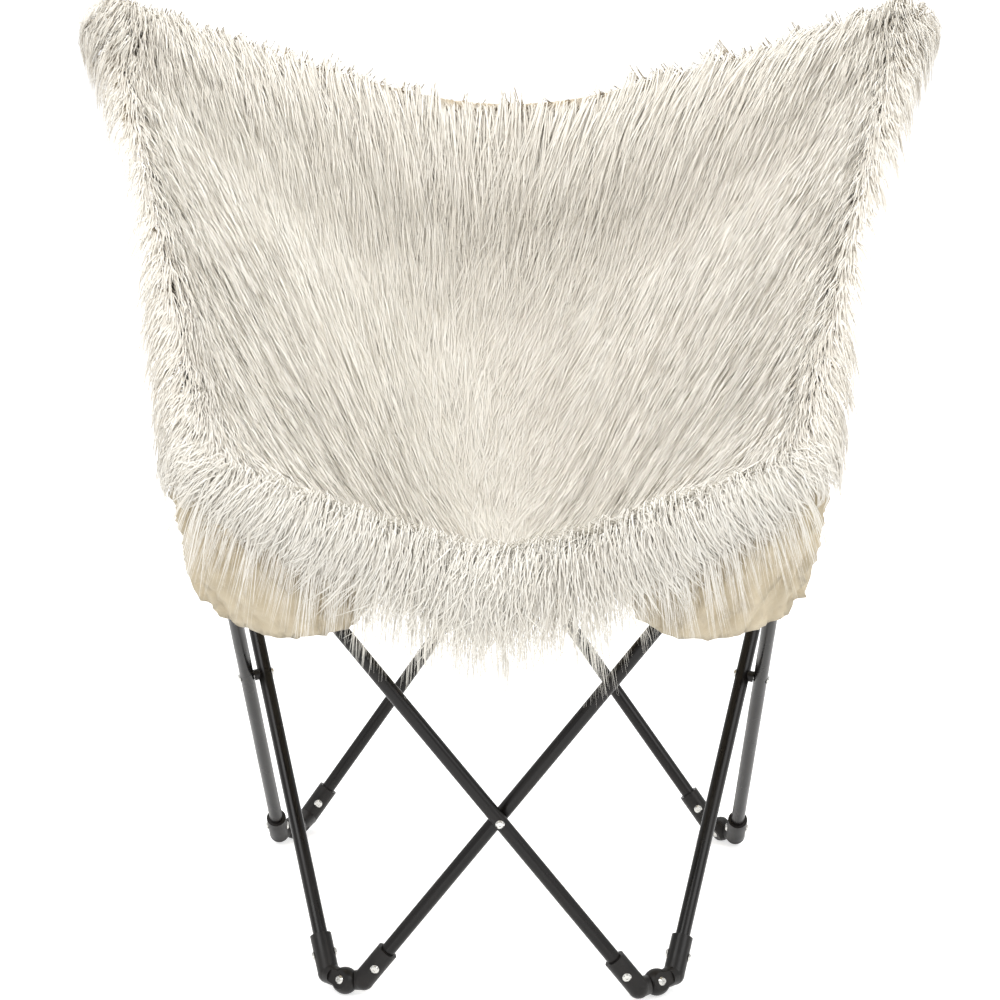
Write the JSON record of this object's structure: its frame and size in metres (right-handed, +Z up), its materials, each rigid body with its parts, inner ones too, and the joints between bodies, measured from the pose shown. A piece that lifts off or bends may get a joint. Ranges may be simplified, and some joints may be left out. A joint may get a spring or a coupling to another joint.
{
  "type": "butterfly chair",
  "caption": "Folding butterfly chair: long-pile fur sling hung by canvas pockets on a black steel frame of crossed tubes with riveted foot knuckles.",
  "frame": {"origin": "on the floor under the middle of the whole chair", "axes": "+Z up, the chair faces -Y, +X to the right as seen from the front"},
  "size_m": [0.8654, 0.7093, 0.8875],
  "materials": {
    "fur": "long straight ivory faux fur on woven backing",
    "canvas": "beige plain-woven cotton canvas",
    "binding": "black folded edge tape",
    "tube": "satin black powder coat on steel tube",
    "plastic": "black moulded plastic",
    "rivet": "bright nickel-plated steel"
  },
  "bodies": {
    "cover": {"fur_cover": "fur", "edge_binding": "binding", "front_left_pocket": "canvas", "front_right_pocket": "canvas", "left_wing_pocket": "canvas", "right_wing_pocket": "canvas", "front_cross_rivet": "rivet"},
    "front_cross_left": {"front_cross_left_tube": "tube", "front_cross_left_elbow": "plastic", "front_cross_left_cap": "plastic", "front_cross_left_socket_rivet": "rivet", "front_left_knuckle_rivet": "rivet"},
    "left_side_front": {"left_side_front_tube": "tube", "left_side_front_elbow": "plastic", "left_side_front_cap": "plastic", "left_side_front_socket_rivet": "rivet", "left_side_rivet": "rivet", "left_side_spacer": "plastic"},
    "left_side_rear": {"left_side_rear_tube": "tube", "left_side_rear_elbow": "plastic", "left_side_rear_cap": "plastic", "left_side_rear_socket_rivet": "rivet"},
    "back_cross_left": {"back_cross_left_tube": "tube", "back_cross_left_elbow": "plastic", "back_cross_left_cap": "plastic", "back_cross_left_socket_rivet": "rivet", "rear_left_knuckle_rivet": "rivet", "back_cross_rivet": "rivet", "back_cross_spacer": "plastic"},
    "front_cross_right": {"front_cross_right_tube": "tube", "front_cross_right_elbow": "plastic", "front_cross_right_cap": "plastic", "front_cross_right_socket_rivet": "rivet", "front_right_knuckle_rivet": "rivet"},
    "right_side_front": {"right_side_front_tube": "tube", "right_side_front_elbow": "plastic", "right_side_front_cap": "plastic", "right_side_front_socket_rivet": "rivet", "right_side_rivet": "rivet", "right_side_spacer": "plastic"},
    "right_side_rear": {"right_side_rear_tube": "tube", "right_side_rear_elbow": "plastic", "right_side_rear_cap": "plastic", "right_side_rear_socket_rivet": "rivet"},
    "back_cross_right": {"back_cross_right_tube": "tube", "back_cross_right_elbow": "plastic", "back_cross_right_cap": "plastic", "back_cross_right_socket_rivet": "rivet", "rear_right_knuckle_rivet": "rivet"}
  },
  "joints": [
    {"name": "fold", "type": "hinge", "parent": "cover", "child": "front_cross_left", "pos_m": [0, -0.29875, 0.18329], "axis": [0, -0.9956, -0.0939], "range_deg": [0, 32.3], "deforming": ["fur_cover", "edge_binding", "front_left_pocket", "front_right_pocket", "left_wing_pocket", "right_wing_pocket"]},
    {"name": "front_cross", "type": "hinge", "parent": "cover", "child": "front_cross_right", "pos_m": [0, -0.29875, 0.18329], "axis": [0, 0.9956, 0.0939], "range_deg": [0, 32.31]},
    {"name": "front_left_knuckle", "type": "hinge", "parent": "front_cross_left", "child": "left_side_front", "pos_m": [-0.148, -0.2706, 0.0124], "axis": [0.5586, 0.7469, -0.3607], "range_deg": [0, 46.35]},
    {"name": "left_side_cross", "type": "hinge", "parent": "left_side_front", "child": "left_side_rear", "pos_m": [-0.24496, -0.08472, 0.26179], "axis": [-0.9731, -0.1437, -0.1799], "range_deg": [0, 66.68]},
    {"name": "rear_left_knuckle", "type": "hinge", "parent": "left_side_rear", "child": "back_cross_left", "pos_m": [-0.232, 0.1964, 0.0124], "axis": [0.7491, -0.465, -0.4719], "range_deg": [0, 53.57]},
    {"name": "front_right_knuckle", "type": "hinge", "parent": "front_cross_right", "child": "right_side_front", "pos_m": [0.148, -0.2706, 0.0124], "axis": [0.5586, -0.7469, 0.3607], "range_deg": [0, 46.35]},
    {"name": "right_side_cross", "type": "hinge", "parent": "right_side_front", "child": "right_side_rear", "pos_m": [0.24496, -0.08472, 0.26179], "axis": [-0.9731, 0.1437, 0.1799], "range_deg": [0, 66.68]},
    {"name": "rear_right_knuckle", "type": "hinge", "parent": "right_side_rear", "child": "back_cross_right", "pos_m": [0.232, 0.1964, 0.0124], "axis": [0.7491, 0.465, 0.4719], "range_deg": [0, 53.57]}
  ],
  "couplings": [
    {"joint": "front_cross", "follows": "fold", "ratio": 1},
    {"joint": "front_left_knuckle", "follows": "fold", "ratio": 1.4345},
    {"joint": "left_side_cross", "follows": "fold", "ratio": 2.0642},
    {"joint": "rear_left_knuckle", "follows": "fold", "ratio": 1.6583},
    {"joint": "front_right_knuckle", "follows": "fold", "ratio": 1.4345},
    {"joint": "right_side_cross", "follows": "fold", "ratio": 2.0642},
    {"joint": "rear_right_knuckle", "follows": "fold", "ratio": 1.6583}
  ]
}
